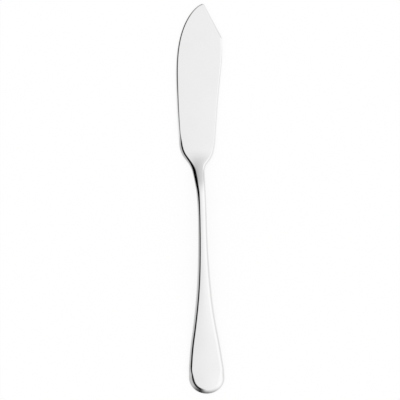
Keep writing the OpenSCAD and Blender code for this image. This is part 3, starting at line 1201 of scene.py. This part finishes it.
@dataclass
class WhiteTable:
    """The plain white table that the knife lies on, with the knife's faint soft shadow.

    Attributes:
        half_width: half of its side.
        colour: its own colour.
        glow: share of plain white in it where it is seen, directly or in the polish.
    """

    half_width: float = 6.0
    colour: tuple[float, float, float] = (0.99, 0.99, 0.99)
    glow: float = 0.8

    def _material(self) -> bpy.types.Material:
        """A matt white that shows as white and keeps the shadow.

        Returns:
            The material.
        """
        material = bpy.data.materials.new("white_table")
        material.use_nodes = True
        graph = Graph(material.node_tree)
        matt = graph.node("ShaderNodeBsdfPrincipled", inputs={
            "Base Color": (*self.colour, 1.0), "Roughness": 1.0, "Specular IOR Level": 0.0})
        white = graph.node("ShaderNodeEmission", inputs={
            "Color": (1.0, 1.0, 1.0, 1.0), "Strength": 1.0})
        path = graph.add("ShaderNodeLightPath")
        seen = [Wrapped(graph, path.outputs[f"Is {ray} Ray"])
                for ray in ("Camera", "Glossy", "Transmission")]
        share = self.glow * seen[0].at_least(seen[1]).at_least(seen[2])
        both = graph.node("ShaderNodeMixShader", inputs={0: share, 1: matt, 2: white})
        graph.add("ShaderNodeOutputMaterial", inputs={0: both})
        return material

    def build(self) -> bpy.types.Object:
        """Makes the table's top at the knife's underside.

        Returns:
            The table.
        """
        w = self.half_width
        mesh = bpy.data.meshes.new("table_top")
        mesh.from_pydata([(-w, -w, 0), (w, -w, 0), (w, w, 0), (-w, w, 0)], [], [(0, 1, 2, 3)])
        mesh.materials.append(self._material())
        table = bpy.data.objects.new("table_top", mesh)
        bpy.context.scene.collection.objects.link(table)
        return table


@dataclass(frozen=True)
class Studio:
    """Soft white surroundings with one dark panel, as polished metal is photographed.

    Directions are given by their height, from 1 overhead to 0 at the level of the table, and by
    how far they lean left, right, towards the tip or towards the butt. A pair gives where a soft
    change starts and where it is full.

    Attributes:
        plain: light on matt things, and the brightness of the white overhead.
        side_light: how much brighter it grows from left to right overhead.
        side_span: leans to the right between which it does.
        side_middle: share of it that keeps the middle as bright as plain.
        right_light: how much brighter still the right side is.
        right_span: leans to the right between which it is.
        low_shade: how much darker it grows near the table, all round but the left.
        low_sides: leans to the right between which that sets in.
        low_heights: heights between which it sets in.
        far_shade: how much darker it grows towards the tip.
        far_span: leans towards the tip between which it does.
        butt_shade: how much darker it grows low down towards the butt.
        butt_sides: leans towards the butt between which it does.
        butt_heights: heights between which it does.
        butt_power: how fast that fades towards the right.
        panel_top: heights between which the panel darkens.
        butt_panel_side: leans to the left between which it darkens at the butt's end.
        panel_side: the same for the rest of it.
        panel_tail: the same for the wider and fainter part round it.
        panel_tail_share: share of its darkness that this part takes.
        panel_turn: leans towards the tip over which the butt's end gives way to the rest.
        tip_fade: share of its darkness that it loses towards the tip.
        tip_fade_span: leans towards the tip between which it does.
        panel_foot: height under which the low light shows again at the left.
        panel_slant: how much higher that is towards the butt, and lower towards the tip.
        panel_foot_limits: the lowest and the highest that it may be.
        foot_span: share of that height over which the low light grows.
        low_light: brightness of that low light at the left.
        low_light_span: leans to the left between which it grows.
    """

    plain: float = 1.0
    side_light: float = 0.13
    side_span: Span = (-0.25, 0.25)
    side_middle: float = 0.54
    right_light: float = 0.07
    right_span: Span = (0.2, 0.6)
    low_shade: float = 0.27
    low_sides: Span = (-0.6, 0.1)
    low_heights: Span = (0.44, 0.14)
    far_shade: float = 0.28
    far_span: Span = (0.17, 0.5)
    butt_shade: float = 0.5
    butt_sides: Span = (0.6, 0.95)
    butt_heights: Span = (0.78, 0.3)
    butt_power: float = 1.5
    panel_top: Span = (0.93, 0.72)
    butt_panel_side: Span = (0.0, 0.4)
    panel_side: Span = (0.0, 0.32)
    panel_tail: Span = (-1.0, 0.1)
    panel_tail_share: float = 0.45
    panel_turn: Span = (-0.6, 0.0)
    tip_fade: float = 0.75
    tip_fade_span: Span = (0.55, 0.9)
    panel_foot: float = 0.4
    panel_slant: float = 0.45
    panel_foot_limits: Span = (0.3, 0.6)
    foot_span: float = 0.24
    low_light: float = 0.66
    low_light_span: Span = (0.2, 0.9)

    def _panel(self, flat: Wrapped, x: Wrapped, y: Wrapped, z: Wrapped) -> Wrapped:
        """How dark the panel is in a direction.

        Args:
            flat: the direction's length over the ground.
            x: its part to the right.
            y: its part towards the tip.
            z: its height.

        Returns:
            0 for white to 1 for black.
        """
        left = -x / flat
        ahead = y / flat
        butt_end = left.ramp(*self.butt_panel_side)
        rest = mix(left.ramp(*self.panel_side), left.ramp(*self.panel_tail),
                   self.panel_tail_share)
        side = (mix(butt_end, rest, ahead.ramp(*self.panel_turn))
                * (1 - self.tip_fade * ahead.ramp(*self.tip_fade_span)))
        top = z.ramp(*self.panel_top)
        lowest, highest = self.panel_foot_limits
        foot = (self.panel_foot - self.panel_slant * ahead).at_least(lowest).at_most(highest)
        low = ((foot - z) / foot).ramp(0.0, self.foot_span)
        return side * top * (1 - self.low_light * left.ramp(*self.low_light_span) * low)

    def build(self) -> bpy.types.World:
        """Makes the world: plain light on matt things, and a panel that polish reflects.

        Returns:
            The world.
        """
        world = bpy.data.worlds.new("studio")
        world.use_nodes = True
        bpy.context.scene.world = world
        graph = Graph(world.node_tree)
        way = graph.add("ShaderNodeSeparateXYZ", inputs={
            0: graph.node("ShaderNodeTexCoord", output="Generated")})
        x, y, z = (Wrapped(graph, way.outputs[i]) for i in range(3))
        flat = (x * x + y * y).at_least(1e-6).power(0.5)
        right = x / flat
        butt = ((-y / flat).ramp(*self.butt_sides) * z.ramp(*self.butt_heights)
                * (1 - right.at_least(0.0)).at_least(0.0).power(self.butt_power))
        white = (self.plain + self.side_light * (x.ramp(*self.side_span) - self.side_middle)
                 + self.right_light * x.ramp(*self.right_span) - self.butt_shade * butt
                 - self.low_shade * right.ramp(*self.low_sides) * z.ramp(*self.low_heights)
                 - self.far_shade * y.ramp(*self.far_span))
        reflected = white * (1 - self._panel(flat, x, y, z))
        path = graph.add("ShaderNodeLightPath")
        glossy = Wrapped(graph, path.outputs["Is Glossy Ray"])
        shader = graph.node("ShaderNodeBackground", inputs={
            "Color": (1.0, 1.0, 1.0, 1.0), "Strength": mix(self.plain, reflected, glossy)})
        graph.add("ShaderNodeOutputWorld", inputs={0: shader})
        return world


@dataclass
class PhotoCamera:
    """The camera of the photograph: square on from above, with a long lens.

    Attributes:
        picture_px: side of the square picture.
        butt_px: where the butt's end lies in it, from its upper left corner.
        lean: how far the knife leans to the left in it, in radians.
        pixel: length on the table that one pixel covers.
    """

    picture_px: float = 400.0
    butt_px: tuple[float, float] = (207.1, 394.0)
    lean: float = math.atan(5.6 / 194)
    pixel: float = 0.5251 * MM
    lens: float = 200.0
    sensor: float = 36.0

    def build(self, sizes: KnifeSizes) -> bpy.types.Object:
        """Places the camera over the knife.

        Args:
            sizes: the knife's sizes, for where its axis lies.

        Returns:
            The camera.
        """
        low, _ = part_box("knife")
        right = Vector((math.cos(self.lean), -math.sin(self.lean), 0.0))
        up = Vector((math.sin(self.lean), math.cos(self.lean), 0.0))
        butt = Vector((low[0] + sizes.edge_reach, low[1], 0.0))
        middle = self.picture_px / 2
        centre = (butt + right * (middle - self.butt_px[0]) * self.pixel
                  + up * (self.butt_px[1] - middle) * self.pixel)
        data = bpy.data.cameras.new("photo_camera")
        data.lens, data.sensor_width = self.lens, self.sensor
        camera = bpy.data.objects.new("photo_camera", data)
        distance = self.picture_px * self.pixel * self.lens / self.sensor
        camera.location = centre + Vector((0.0, 0.0, distance + sizes.heel_t))
        camera.rotation_euler = (0.0, 0.0, -self.lean)
        bpy.context.scene.collection.objects.link(camera)
        bpy.context.scene.camera = camera
        return camera


def main() -> None:
    """Builds the knife, its table, the light and the camera, in that order."""
    logging.basicConfig(level=logging.INFO, format="%(name)s: %(message)s")
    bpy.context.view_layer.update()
    bpy.context.scene.view_settings.view_transform = "Standard"
    knife = FishKnife()
    knife.build()
    WhiteTable().build()
    Studio().build()
    PhotoCamera().build(knife.sizes)


if __name__ == "__main__":
    main()
